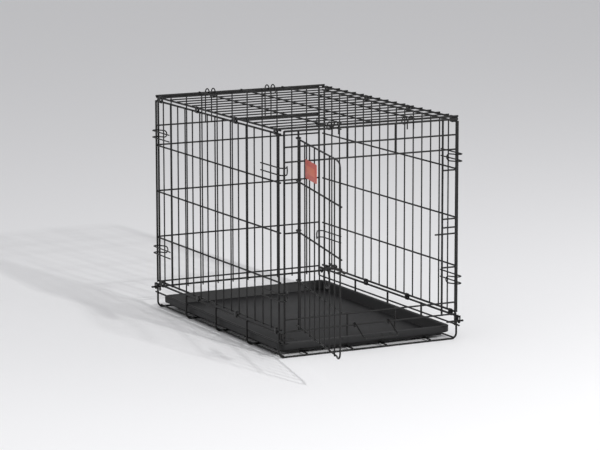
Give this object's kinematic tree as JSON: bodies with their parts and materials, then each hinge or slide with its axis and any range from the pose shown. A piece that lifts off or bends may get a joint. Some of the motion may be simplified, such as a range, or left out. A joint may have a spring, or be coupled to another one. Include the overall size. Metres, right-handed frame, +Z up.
{
  "type": "wire dog crate",
  "caption": "Folding wire dog crate with a side-hinged front door, sliding bolt, plastic floor pan and spring-hook corners.",
  "frame": {"origin": "on the floor under the middle of the crate's floor, on the underside of the middle floor wire", "axes": "+Z up, +X to the right seen from the door end, +Y from the door end to the rear"},
  "size_m": [0.478, 0.9771, 0.492],
  "materials": {
    "wire_black": "satin black coating on steel wire",
    "clip_black": "satin black coating on sheet steel",
    "pan_plastic": "fine-grained moulded plastic",
    "plate_red": "smooth, blank"
  },
  "bodies": {
    "base": {"base_tray": "wire_black", "front_panel": "wire_black", "left_front_top_hook": "wire_black", "right_front_top_hook": "wire_black", "left_low_clip_1": "clip_black", "left_low_clip_2": "clip_black", "left_low_clip_3": "clip_black", "left_low_clip_4": "clip_black", "right_low_clip_1": "clip_black", "right_low_clip_2": "clip_black", "right_low_clip_3": "clip_black", "right_low_clip_4": "clip_black"},
    "pan": {"pan": "pan_plastic"},
    "pan_stop": {"pan_stop": "wire_black"},
    "door": {"door": "wire_black", "name_plate": "plate_red"},
    "bolt": {"latch_bolt": "wire_black"},
    "left_side": {"left_side_panel": "wire_black", "left_front_high_hook": "wire_black", "left_front_low_hook": "wire_black", "left_rear_high_hook": "wire_black", "left_rear_low_hook": "wire_black"},
    "top": {"top_panel": "wire_black", "left_top_clip_1": "clip_black", "left_top_clip_2": "clip_black", "left_top_clip_3": "clip_black", "left_top_clip_4": "clip_black", "right_top_clip_1": "clip_black", "right_top_clip_2": "clip_black", "right_top_clip_3": "clip_black", "right_top_clip_4": "clip_black"},
    "right_side": {"right_side_panel": "wire_black", "right_front_high_hook": "wire_black", "right_front_low_hook": "wire_black", "right_rear_high_hook": "wire_black", "right_rear_low_hook": "wire_black"},
    "rear": {"rear_panel": "wire_black", "left_rear_top_hook": "wire_black", "right_rear_top_hook": "wire_black"}
  },
  "joints": [
    {"name": "door_swing", "type": "hinge", "parent": "base", "child": "door", "pos_m": [-0.17145, -0.3136, 0.268], "axis": [0, 0, -1], "range_deg": [-102.5, 45]},
    {"name": "bolt_slide", "type": "slide", "parent": "door", "child": "bolt", "axis": [-0.2164, -0.9763, 0], "range_m": [0, 0.027]},
    {"name": "pan_slide", "type": "slide", "parent": "base", "child": "pan", "axis": [0, -1, 0], "range_m": [0, 0.45]},
    {"name": "pan_stop_turn", "type": "hinge", "parent": "base", "child": "pan_stop", "pos_m": [0, -0.31666, 0.0583], "axis": [-1, 0, 0], "range_deg": [-58, 20]},
    {"name": "rear_fold", "type": "hinge", "parent": "base", "child": "rear", "pos_m": [0, 0.31701, 0.0453], "axis": [1, 0, 0], "range_deg": [0, 90], "deforming": ["left_rear_top_hook", "right_rear_top_hook", "left_rear_high_hook", "left_rear_low_hook", "right_rear_high_hook", "right_rear_low_hook"]},
    {"name": "left_side_fold", "type": "hinge", "parent": "base", "child": "left_side", "pos_m": [-0.20955, 0, 0.0605], "axis": [0, 1, 0], "range_deg": [0, 85], "deforming": ["left_front_high_hook", "left_front_low_hook", "left_rear_high_hook", "left_rear_low_hook", "right_front_high_hook", "right_front_low_hook", "right_rear_high_hook", "right_rear_low_hook", "left_front_top_hook", "left_rear_top_hook", "right_front_top_hook", "right_rear_top_hook"]},
    {"name": "top_fold", "type": "hinge", "parent": "left_side", "child": "top", "pos_m": [-0.20955, 0, 0.4715], "axis": [0, 1, 0], "range_deg": [-85, 0]},
    {"name": "right_side_fold", "type": "hinge", "parent": "base", "child": "right_side", "pos_m": [0.20955, 0, 0.0605], "axis": [0, 1, 0], "range_deg": [0, 85]}
  ],
  "couplings": [
    {"joint": "top_fold", "follows": "left_side_fold", "ratio": -1},
    {"joint": "right_side_fold", "follows": "left_side_fold", "ratio": 1}
  ]
}
